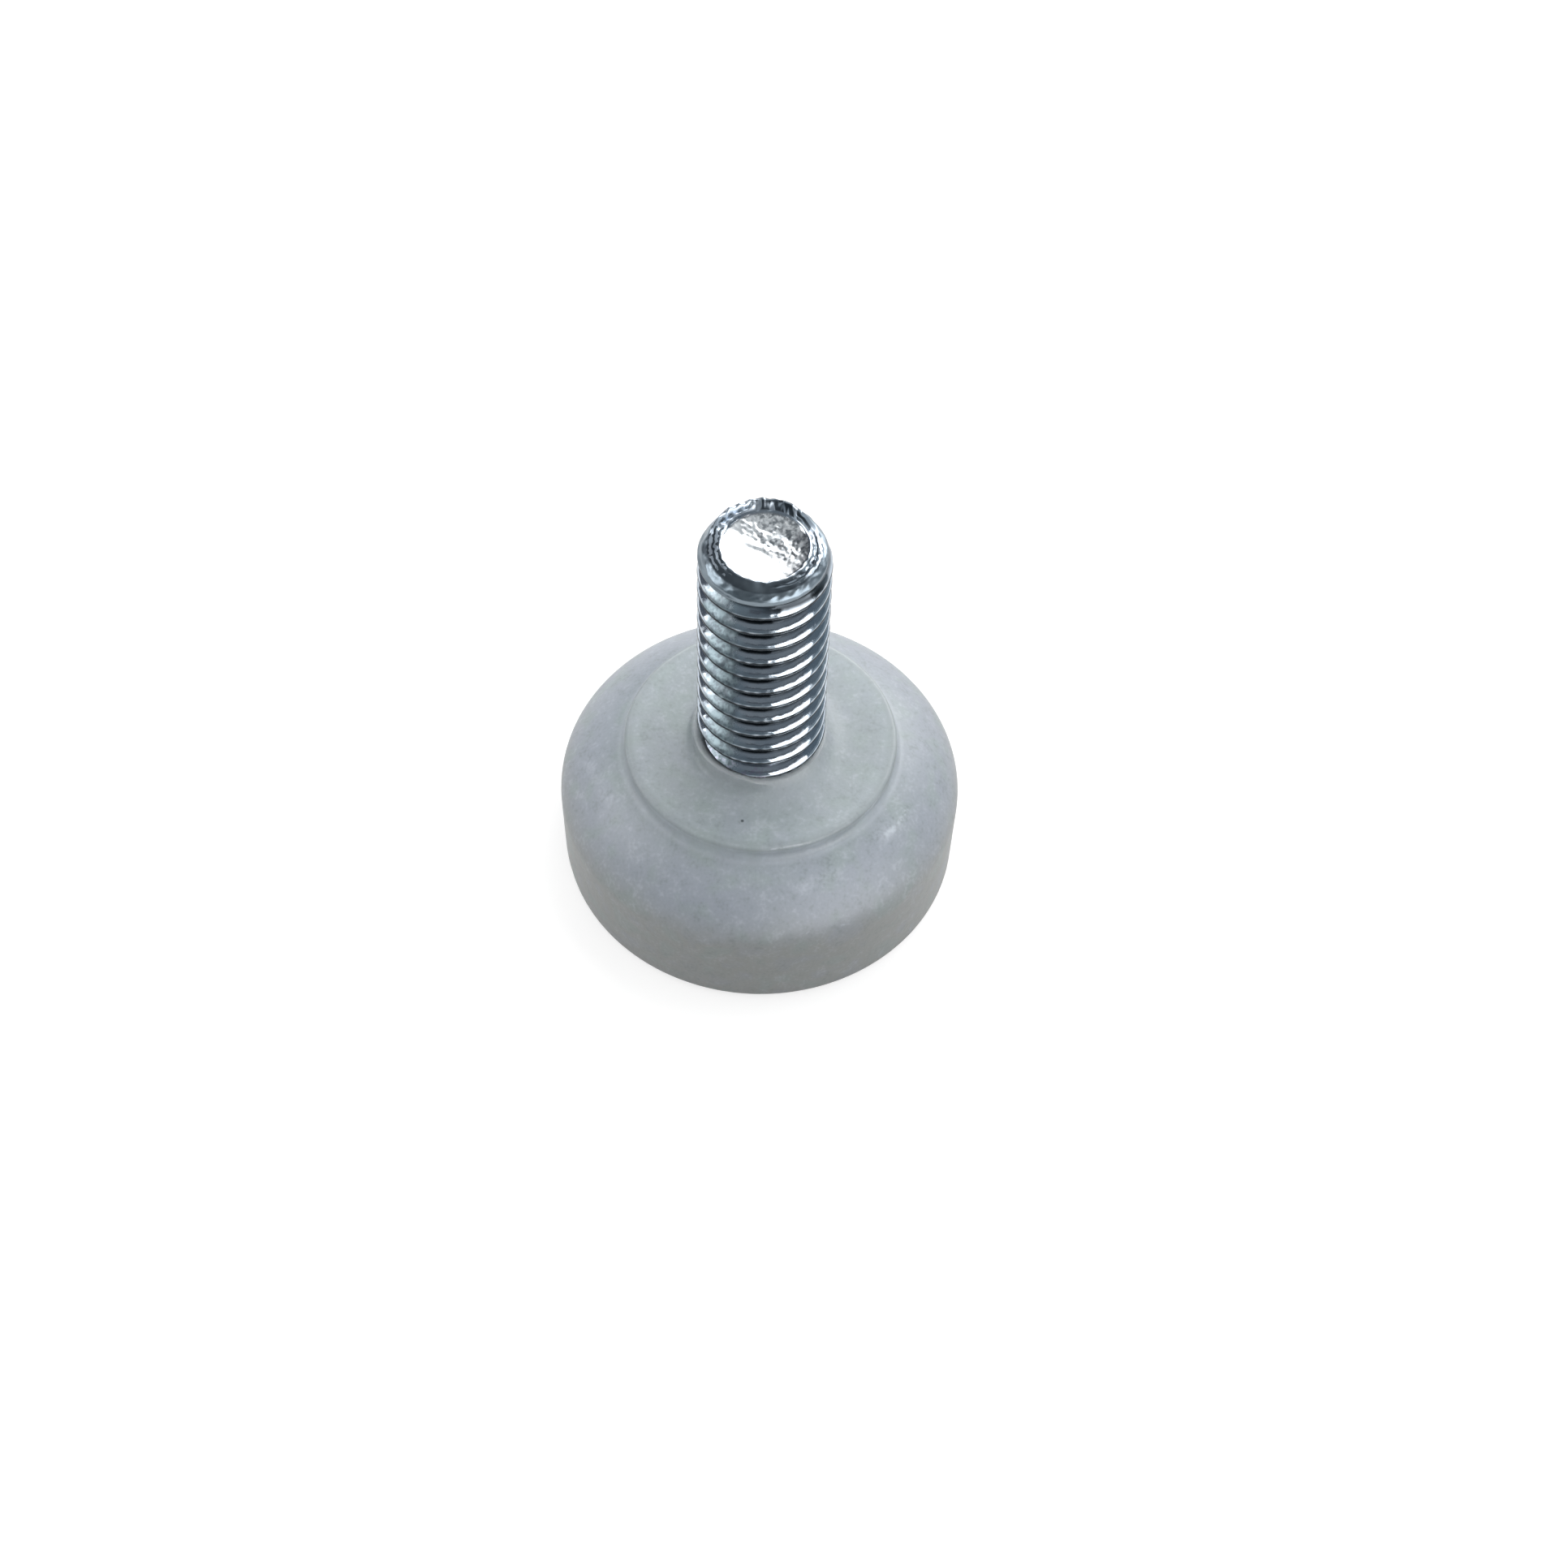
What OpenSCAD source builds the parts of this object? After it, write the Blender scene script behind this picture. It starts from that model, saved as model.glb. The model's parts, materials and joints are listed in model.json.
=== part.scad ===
// Furniture foot: a round plastic foot moulded around the head and shank of a
// threaded steel stud. Millimetres, +Z up the stud, origin at the centre of the
// underside of the foot.

/* [Foot] */
// Largest diameter of the foot, where the side wall meets the shoulder
foot_d = 25; // [20.8:0.1:34]
// Height from the underside to the flat top of the boss
foot_h = 10.7; // [8.9:0.1:18]
// Depth of the largest diameter below the top of the boss
shoulder_drop = 5.1; // [4.2:0.1:6.2]
// Lean of the side wall, which narrows towards the underside, in degrees
wall_draft = 1.7; // [0:0.1:4]
// Rounding of the bottom edge
base_edge_r = 0.6; // [0.2:0.1:1.5]
// Rounding where the side wall turns into the shoulder
shoulder_r = 2.5; // [1.5:0.1:3.5]
// Radius of the domed top of the shoulder
dome_r = 8.5; // [6.5:0.1:14]

/* [Boss] */
// Diameter of the flat boss on top
boss_d = 16.9; // [13.5:0.1:19]
// Drop from the boss top to where the shoulder would meet its wall
boss_step = 0.9; // [0.6:0.1:2]
// Rounding of the top edge of the boss
boss_edge_r = 0.25; // [0.1:0.05:0.5]
// Fillet between the boss wall and the shoulder
boss_fillet_r = 0.5; // [0.3:0.05:0.9]

/* [Collar] */
// Width of the plastic lip round the thread
collar_land = 0.3; // [0.15:0.05:0.8]
// Rise of the lip above the boss
collar_h = 1.2; // [0.5:0.1:1.6]
// Fillet between the lip and the boss
collar_fillet_r = 0.4; // [0.2:0.05:0.5]

/* [Stud] */
// Outside diameter of the thread
thread_d = 7.9; // [6:0.05:10]
// Length of the stud above the boss top
stud_out = 18.95; // [12:0.05:40]
// How much narrower than the thread the plain shank inside the plastic is
shank_step = 0.8; // [0.4:0.05:1.6]
// Chamfer at the tip, along the stud
tip_chamfer = 0.35; // [0.2:0.05:1]
// Diameter of the dished face at the tip
dish_d = 5.4; // [3:0.1:6.4]
// Depth of the dish
dish_depth = 0.7; // [0.2:0.05:1.2]

/* [Stud head inside the foot] */
// Width across the flats of the hexagonal head
head_af = 12.7; // [9:0.1:15]
// Thickness of the head
head_h = 5.2; // [2.5:0.1:6.5]
// Plastic below the head
head_floor = 2.6; // [1:0.1:3.5]
// Gap between the metal and the plastic moulded on to it
bond_gap = 0; // [0:0.01:0.05]

/* [Hidden] */
$fn = 96;

foot_r = foot_d / 2;
boss_r = boss_d / 2;
thread_r = thread_d / 2;
shank_r = (thread_d - shank_step) / 2;
collar_r = thread_r + collar_land;
collar_top = foot_h + collar_h;
head_top = head_floor + head_h;
waist_h = foot_h - shoulder_drop;
tip_z = foot_h + stud_out;
// cuts run past the faces they open by this much
over = 1;

// point at a distance and an angle from another point
function polar(c, r, a) = c + r * [cos(a), sin(a)];
// direction in degrees from point p to point q
function heading(p, q) = atan2(q[1] - p[1], q[0] - p[0]);
// the point at distances rp from p and rq from q that lies left of the way from p to q
function meet(p, rp, q, rq) =
    let (d = norm(q - p), along = (d * d + rp * rp - rq * rq) / (2 * d))
    polar(p, rp, heading(p, q) + acos(along / rp));

// outline of the foot, as radius and height
shoulder_c = [foot_r - shoulder_r, waist_h];
dome_c = meet(shoulder_c, dome_r - shoulder_r, [boss_r, foot_h - boss_step], dome_r);
dome_start_a = heading(dome_c, shoulder_c);
wall_top = polar(shoulder_c, shoulder_r, -wall_draft);
base_edge_x = shoulder_c[0] + (shoulder_r - base_edge_r
    + (base_edge_r - waist_h) * sin(wall_draft)) / cos(wall_draft);
base_edge_c = [base_edge_x, base_edge_r];
wall_foot = polar(base_edge_c, base_edge_r, -wall_draft);
boss_edge_c = [boss_r - boss_edge_r, foot_h - boss_edge_r];
fillet_x = boss_r + boss_fillet_r;
fillet_c = [fillet_x, dome_c[1] + sqrt(pow(dome_r + boss_fillet_r, 2) - pow(fillet_x - dome_c[0], 2))];
dome_end_a = heading(dome_c, fillet_c);
flare_c = [collar_r + collar_fillet_r, foot_h + collar_fillet_r];

// disc of radius r about c
module disc(c, r) {
    translate(c) circle(r = r);
}

// slice of that disc between angles a0 and a1, under 100 degrees apart
module slice(c, r, a0, a1) {
    intersection() {
        disc(c, r);
        polygon([c, polar(c, 2 * r, a0), polar(c, 2 * r, a1)]);
    }
}

// straight-sided core of the foot: outer corners are cut across, the fillet's corner is filled
module foot_core() {
    polygon([
        [0, 0],
        [base_edge_x, 0],
        wall_foot,
        wall_top,
        polar(shoulder_c, shoulder_r, dome_start_a),
        polar(dome_c, dome_r, dome_end_a),
        fillet_c,
        [boss_r, fillet_c[1]],
        [boss_r, boss_edge_c[1]],
        [boss_edge_c[0], foot_h],
        [0, foot_h]
    ]);
}

// lip that stands round the thread, with a fillet at its foot
module collar() {
    translate([0, boss_edge_c[1]]) square([collar_r, collar_top - boss_edge_c[1]]);
    difference() {
        translate([0, boss_edge_c[1]]) square([flare_c[0], flare_c[1] - boss_edge_c[1]]);
        disc(flare_c, collar_fillet_r);
    }
}

// half section of the foot
module foot_profile() {
    difference() {
        union() {
            foot_core();
            disc(base_edge_c, base_edge_r);
            disc(shoulder_c, shoulder_r);
            slice(dome_c, dome_r, dome_start_a, dome_end_a);
            disc(boss_edge_c, boss_edge_r);
            collar();
        }
        disc(fillet_c, boss_fillet_r);
    }
}

// part of the stud that the plastic holds, grown by a gap for the pocket it sits in
module held_stud(gap) {
    translate([0, 0, head_floor - gap])
        cylinder(r = head_af / 2 / cos(30) + gap, h = head_h + 2 * gap, $fn = 6);
    translate([0, 0, head_top])
        cylinder(r = shank_r + gap, h = collar_top - head_top);
}

// moulded foot, in one piece, with the pocket that the stud fills
module foot_body() {
    color([0.66, 0.70, 0.72])
    difference() {
        rotate_extrude() foot_profile();
        held_stud(bond_gap);
        translate([0, 0, collar_top]) cylinder(r = shank_r + bond_gap, h = over);
    }
}

// radius of the ball that leaves a dish of the stated width and depth
dish_ball_r = (pow(dish_d / 2, 2) + pow(dish_depth, 2)) / (2 * dish_depth);

// steel stud, in one piece: hidden head and shank, thread at its full diameter, dished tip
module threaded_stud() {
    color([0.62, 0.66, 0.70])
    difference() {
        union() {
            held_stud(0);
            translate([0, 0, collar_top])
                cylinder(r = thread_r, h = tip_z - tip_chamfer - collar_top);
            translate([0, 0, tip_z - tip_chamfer])
                cylinder(r1 = thread_r, r2 = thread_r - tip_chamfer, h = tip_chamfer);
        }
        translate([0, 0, tip_z - dish_depth + dish_ball_r]) sphere(r = dish_ball_r);
    }
}

foot_body();
threaded_stud();
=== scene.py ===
"""A furniture foot with a threaded stud, dressed for a studio picture.

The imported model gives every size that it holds. Two pieces are made here around it: the
moulded foot, and the steel stud with its rolled thread and its worn, dished tip. Shapes are
worked out in millimetres with +Z up the stud, and become metres when a mesh is made.
Angles round the stud are in radians and run anticlockwise from +X seen from above. Every
surface is a grid: one column for each angle in THETA, and one row for each ring round the axis.
"""

import json
import logging
import math
from dataclasses import dataclass
from enum import Enum
from typing import Any, Mapping, Sequence

import bpy
import numpy as np
from bpy.types import ID, Material, Node, NodeSocket, Object, World
from mathutils import Matrix, Vector


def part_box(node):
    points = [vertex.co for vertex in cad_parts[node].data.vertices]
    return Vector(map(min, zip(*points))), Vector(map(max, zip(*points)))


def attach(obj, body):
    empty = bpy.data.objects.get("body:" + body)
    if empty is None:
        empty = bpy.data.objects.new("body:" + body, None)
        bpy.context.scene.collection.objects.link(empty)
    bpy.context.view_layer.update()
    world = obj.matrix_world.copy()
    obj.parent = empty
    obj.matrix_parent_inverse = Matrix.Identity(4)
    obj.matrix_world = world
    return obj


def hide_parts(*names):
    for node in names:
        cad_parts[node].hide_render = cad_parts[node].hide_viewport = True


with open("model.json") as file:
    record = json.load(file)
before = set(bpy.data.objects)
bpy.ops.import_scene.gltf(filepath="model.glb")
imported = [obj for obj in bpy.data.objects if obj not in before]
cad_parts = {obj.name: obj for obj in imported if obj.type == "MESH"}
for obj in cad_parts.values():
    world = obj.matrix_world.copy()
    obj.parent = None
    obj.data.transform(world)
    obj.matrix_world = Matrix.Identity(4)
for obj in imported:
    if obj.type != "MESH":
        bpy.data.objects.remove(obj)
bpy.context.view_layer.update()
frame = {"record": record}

LOG = logging.getLogger("foot")
MM = 0.001
COLUMNS = 256
THETA = np.arange(COLUMNS) * (2 * math.pi / COLUMNS)
WHITE = (1.0, 1.0, 1.0, 1.0)
Array = np.ndarray
Colour = tuple[float, float, float, float]


class Piece(Enum):
    """The pieces of the object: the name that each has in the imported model."""

    FOOT = "foot_body"
    STUD = "threaded_stud"


class Slot(Enum):
    """The record's material slots."""

    PLASTIC = "foot_plastic"
    ZINC = "zinc_plated_steel"


# ---- surfaces


def smooth(low: float, high: float, value: Array) -> Array:
    """Ramp from 0 at low to 1 at high, which may lie below low: 3 t squared less 2 t cubed."""
    t = np.clip((value - low) / (high - low), 0, 1)
    return t * t * (3 - 2 * t)


def angle_from(centre: float) -> Array:
    """Signed angle from a centre to each column, the short way round, from -pi to pi."""
    return (THETA - centre + math.pi) % (2 * math.pi) - math.pi


def sector(centre: float, outer: float, inner: float) -> Array:
    """1 for columns within an angle inner of a centre, falling smoothly to 0 at outer from it."""
    return smooth(outer, inner, np.abs(angle_from(centre)))


def hump(away: Array, width: float) -> Array:
    """A bell of height 1: exp(-(away / width) squared)."""
    return np.exp(-(away / width) ** 2)


def arc(centre: Sequence[float], radius: float, start: float, stop: float, count: int) -> Array:
    """Points along an arc in the half section, between angles in degrees from outwards to up."""
    a = np.radians(np.linspace(start, stop, count))
    return np.stack([centre[0] + radius * np.cos(a), centre[1] + radius * np.sin(a)], axis=1)


def line(start: Sequence[float], stop: Sequence[float], count: int) -> Array:
    """Points along a straight line in the half section, both ends included, one in each row."""
    share = np.linspace(0, 1, count)[:, None]
    return (1 - share) * np.asarray(start, float) + share * np.asarray(stop, float)


def wave_sum(phases: Sequence[Array]) -> Array:
    """The sum of the cosines of some phases, scaled to stay between about -1 and 1."""
    return sum(np.cos(phase) for phase in phases) * math.sqrt(2 / len(phases)) / 2


@dataclass(frozen=True)
class Ripple:
    """Gentle unevenness: a sum of waves, each with whole turns round the axis, so that it closes."""

    seed: int
    waves: int
    most_turns: int
    most_along: float
    height: float = 1.0

    def at(self, along: Array | float) -> Array:
        """The ripple: height times the scaled sum of cos(turns theta + rate along + start).

        Args:
            along: Distance of each row along the surface, in millimetres.

        Returns:
            About -height to height, one number for each place.
        """
        rng = np.random.default_rng(self.seed)
        turns = rng.integers(-self.most_turns, self.most_turns + 1, self.waves)
        rate = rng.uniform(-self.most_along, self.most_along, self.waves)
        start = rng.uniform(0, 2 * math.pi, self.waves)
        waves = [k * THETA + w * along + s for k, w, s in zip(turns, rate, start)]
        return self.height * wave_sum(waves)


@dataclass(frozen=True)
class Hammering:
    """Unevenness with no direction: a sum of waves that run every way across a plane."""

    seed: int
    waves: int
    shortest: float
    longest: float
    height: float = 1.0

    def at(self, radius: Array | float) -> Array:
        """Height times the scaled sum of cos(rate radius cos(theta - heading) + start).

        Args:
            radius: Distances from the axis, in millimetres.

        Returns:
            About -height to height, one number for each place.
        """
        rng = np.random.default_rng(self.seed)
        rate = 2 * math.pi / np.geomspace(self.shortest, self.longest, self.waves)
        heading = rng.uniform(0, 2 * math.pi, self.waves)
        start = rng.uniform(0, 2 * math.pi, self.waves)
        waves = [k * radius * np.cos(THETA - a) + s for k, a, s in zip(rate, heading, start)]
        return self.height * wave_sum(waves)


@dataclass(frozen=True)
class Dents:
    """Small round dents scattered all round the axis."""

    seed: int
    count: int
    width: float
    depth: float

    def at(self, along: Array, low: float, high: float, radius: float) -> Array:
        """Depth of the dents: the sum of depth times exp(-distance squared / width squared).

        Args:
            along: Distance of each row along the surface, in millimetres.
            low: Where the dents start, as such a distance.
            high: Where they end.
            radius: The surface's radius.

        Returns:
            How far the surface is pushed in at each place, in millimetres.
        """
        rng = np.random.default_rng(self.seed)
        total = 0.0
        for _ in range(self.count):
            angle = math.pi * rng.uniform(-1, 1)
            place = rng.uniform(low, high)
            width = self.width * rng.uniform(0.5, 1.4)
            depth = self.depth * rng.uniform(0.3, 1.0)
            away = np.hypot(radius * angle_from(angle), along - place)
            total += depth * hump(away, width)
        return total


def revolved(radius: Array, height: Array) -> Array:
    """Points of a surface round the axis: (radius cos theta, radius sin theta, height)."""
    return np.stack([radius * np.cos(THETA), radius * np.sin(THETA), height + 0 * THETA], axis=2)


def added(name: str, data: ID) -> Object:
    """A new object in the scene, at the origin, with the data given.

    Args:
        name: The object's name.
        data: Its mesh, lamp or camera.

    Returns:
        The object.
    """
    made = bpy.data.objects.new(name, data)
    bpy.context.scene.collection.objects.link(made)
    return made


def mesh_object(name: str, points: Any, faces: Any) -> Object:
    """A new object with a mesh.

    Args:
        name: The name of both.
        points: Its points, in metres.
        faces: The numbers of each face's points.

    Returns:
        The object.
    """
    mesh = bpy.data.meshes.new(name)
    mesh.from_pydata(points, [], faces)
    return added(name, mesh)


def closed_shell(piece: Piece, rings: Array, first: float, last: float) -> Object:
    """A closed mesh from rings round the axis, shut by a point on the axis at each end.

    Args:
        piece: The piece that the mesh is for.
        rings: Rings by columns by 3, in millimetres, from the first end to the last.
        first: Height of the point that closes the first ring.
        last: Height of the point that closes the last ring.

    Returns:
        The new object, smooth shaded, at the origin.
    """
    count, columns = rings.shape[:2]
    ends = np.array([[0, 0, first], [0, 0, last]])
    points = np.concatenate([rings.reshape(-1, 3), ends]) * MM
    index = np.arange(count * columns).reshape(count, columns)
    after = np.roll(index, -1, axis=1)
    quads = np.stack([index[:-1], after[:-1], after[1:], index[1:]], axis=2).reshape(-1, 4)
    start = np.stack([after[0], index[0], np.full(columns, count * columns)], axis=1)
    stop = np.stack([index[-1], after[-1], np.full(columns, count * columns + 1)], axis=1)
    faces = quads.tolist() + start.tolist() + stop.tolist()
    made = mesh_object(piece.value + "_skin", points.tolist(), faces)
    made.data.polygons.foreach_set("use_smooth", np.ones(len(faces), bool))
    made.data.validate()
    made.data.update()
    return made


# ---- materials


class Value:
    """A number that runs through a material's nodes. Arithmetic on it adds Math nodes."""

    def __init__(self, recipe: "Recipe", socket: NodeSocket) -> None:
        """Wraps a socket of the recipe's node tree."""
        self.recipe = recipe
        self.socket = socket

    def math(self, operation: str, *others: "Number", first: bool = True) -> "Value":
        """The result of a Math node that takes this value, first or last, and others."""
        terms = (self, *others) if first else (*others, self)
        return self.recipe.value("ShaderNodeMath", {"operation": operation}, dict(enumerate(terms)))

    def __add__(self, other: "Number") -> "Value":
        """This value plus another."""
        return self.math("ADD", other)

    def __sub__(self, other: "Number") -> "Value":
        """This value less another."""
        return self.math("SUBTRACT", other)

    def __rsub__(self, other: "Number") -> "Value":
        """A number less this value."""
        return self.math("SUBTRACT", other, first=False)

    def __mul__(self, other: "Number") -> "Value":
        """This value times another."""
        return self.math("MULTIPLY", other)

    def __truediv__(self, other: "Number") -> "Value":
        """This value over another."""
        return self.math("DIVIDE", other)

    def __pow__(self, other: "Number") -> "Value":
        """This value raised to a power."""
        return self.math("POWER", other)

    __radd__ = __add__
    __rmul__ = __mul__

    def __abs__(self) -> "Value":
        """This value without its sign."""
        return self.math("ABSOLUTE")

    def fraction(self) -> "Value":
        """What is left of this value above the whole number below it."""
        return self.math("FRACT")

    def clamp(self, low: float, high: float) -> "Value":
        """This value, held between two numbers."""
        return self.math("MAXIMUM", low).math("MINIMUM", high)

    def ramp(self, low: float, high: float) -> "Value":
        """Smooth ramp from 0 to 1 while this value goes from low to high, which may lie below low."""
        settings = {"interpolation_type": "SMOOTHSTEP"}
        return self.recipe.value("ShaderNodeMapRange", settings, {0: self, 1: low, 2: high})

    def band(self, middle: float, outer: float, inner: float) -> "Value":
        """1 where this value is within inner of a middle, falling to 0 at outer from it."""
        return abs(self - middle).ramp(outer, inner)


Number = Value | float | int


def heading_part(x: Value, y: Value, heading: float) -> Value:
    """How far a place, or a direction, reaches along a heading: x cos heading + y sin heading."""
    return x * math.cos(heading) + y * math.sin(heading)


@dataclass(frozen=True)
class Mark:
    """A scratch, a streak or a painted glint on a surface: a segment in millimetres, its half width and how
    much it shows.
    """

    start: tuple[float, float, float]
    stop: tuple[float, float, float]
    width: float
    strength: float


class Recipe:
    """The nodes of a material or of a world, and the one way in which they are added."""

    def __init__(self, owner: Material | World, output: str = "ShaderNodeOutputMaterial") -> None:
        """Clears the owner's nodes, and adds its output and the place on the object.

        Args:
            owner: The material or the world.
            output: The type of its output node.
        """
        owner.use_nodes = True
        self.owner = owner
        self.tree = owner.node_tree
        self.tree.nodes.clear()
        self.output = self.node(output)
        self.place = self.node("ShaderNodeTexCoord").outputs["Object"]

    def node(
        self, kind: str, settings: Mapping[str, Any] | None = None, inputs: Mapping[Any, Any] | None = None
    ) -> Node:
        """Adds a node.

        Args:
            kind: The node's type.
            settings: What is set on the node itself, such as its operation.
            inputs: For each input socket, by name or number, a value or what to link to it.

        Returns:
            The node.
        """
        made = self.tree.nodes.new(kind)
        for name, setting in (settings or {}).items():
            setattr(made, name, setting)
        for key, given in (inputs or {}).items():
            source = given.socket if isinstance(given, Value) else given
            if isinstance(source, NodeSocket):
                self.tree.links.new(source, made.inputs[key])
            else:
                made.inputs[key].default_value = source
        return made

    def value(
        self, kind: str, settings: Mapping[str, Any], inputs: Mapping[Any, Any], output: Any = 0
    ) -> Value:
        """Adds a node and gives one of its outputs as a number to calculate with."""
        return Value(self, self.node(kind, settings, inputs).outputs[output])

    def vector(self, operation: str, inputs: Mapping[Any, Any], output: Any = 0) -> NodeSocket:
        """Adds a Vector Math node and gives one of its outputs."""
        return self.node("ShaderNodeVectorMath", {"operation": operation}, inputs).outputs[output]

    def scaled_place(self, scale: Sequence[float] = (1, 1, 1)) -> NodeSocket:
        """The place on the object in millimetres, stretched along each axis by a scale."""
        return self.vector("MULTIPLY", {0: self.place, 1: tuple(s / MM for s in scale)})

    def noise(self, size: float, detail: float, scale: Sequence[float] = (1, 1, 1)) -> Value:
        """Cloudy noise, about 0.5 on average. Its largest clouds have the size, over the scale."""
        inputs = {"Vector": self.scaled_place(scale), "Scale": 1 / size, "Detail": detail}
        return self.value("ShaderNodeTexNoise", {}, inputs, "Fac")

    def axes(self) -> tuple[Value, Value, Value]:
        """The place on the object, in millimetres, as three numbers."""
        parts = self.node("ShaderNodeSeparateXYZ", {}, {0: self.scaled_place()}).outputs
        return Value(self, parts[0]), Value(self, parts[1]), Value(self, parts[2])

    def near(self, point: Sequence[float], inner: float, outer: float) -> Value:
        """A soft spot: 1 within one distance of a point, 0 beyond another, in millimetres."""
        away = self.vector("DISTANCE", {0: self.scaled_place(), 1: point}, "Value")
        return Value(self, away).ramp(outer, inner)

    def stroke(self, mark: Mark) -> Value:
        """A soft line, from the distance of each place to a mark's segment.

        Args:
            mark: The segment and its half width.

        Returns:
            1 along the segment and 0 beyond the half width.
        """
        start, along = Vector(mark.start), Vector(mark.stop) - Vector(mark.start)
        offset = self.vector("SUBTRACT", {0: self.scaled_place(), 1: start})
        share = self.vector("DOT_PRODUCT", {0: offset, 1: along / along.length_squared}, "Value")
        nearest = self.vector("SCALE", {0: along, "Scale": Value(self, share).clamp(0.0, 1.0)})
        away = self.vector("DISTANCE", {0: offset, 1: nearest}, "Value")
        return Value(self, away).ramp(mark.width, 0.1 * mark.width)

    def mix(self, share: Number, first: Any, second: Any) -> NodeSocket:
        """One colour turning into another as share goes from 0 to 1."""
        settings = {"data_type": "RGBA", "clamp_factor": True}
        return self.node("ShaderNodeMix", settings, {0: share, 6: first, 7: second}).outputs[2]

    def layers(self, base: Any, *coats: tuple[Number, Any]) -> NodeSocket:
        """Colours laid over one another.

        Args:
            base: The lowest colour.
            coats: The others from the lowest up, each after the share of it that shows.

        Returns:
            The colour on top.
        """
        for share, colour in coats:
            base = self.mix(share, base, colour)
        return base

    def bump(self, height: Value, distance: float, strength: float) -> NodeSocket:
        """A normal tilted by a height map, whose full range is a distance in millimetres."""
        inputs = {"Height": height, "Distance": distance * MM, "Strength": strength}
        return self.node("ShaderNodeBump", {}, inputs).outputs[0]

    def join(self, shader: Node) -> ID:
        """Links a shader to the output and gives the material or the world."""
        self.tree.links.new(shader.outputs[0], self.output.inputs[0])
        return self.owner

    def finish(self, inputs: Mapping[str, Any]) -> Material:
        """Ends with a principled shader that has these inputs, and gives the material."""
        return self.join(self.node("ShaderNodeBsdfPrincipled", {}, inputs))


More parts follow.
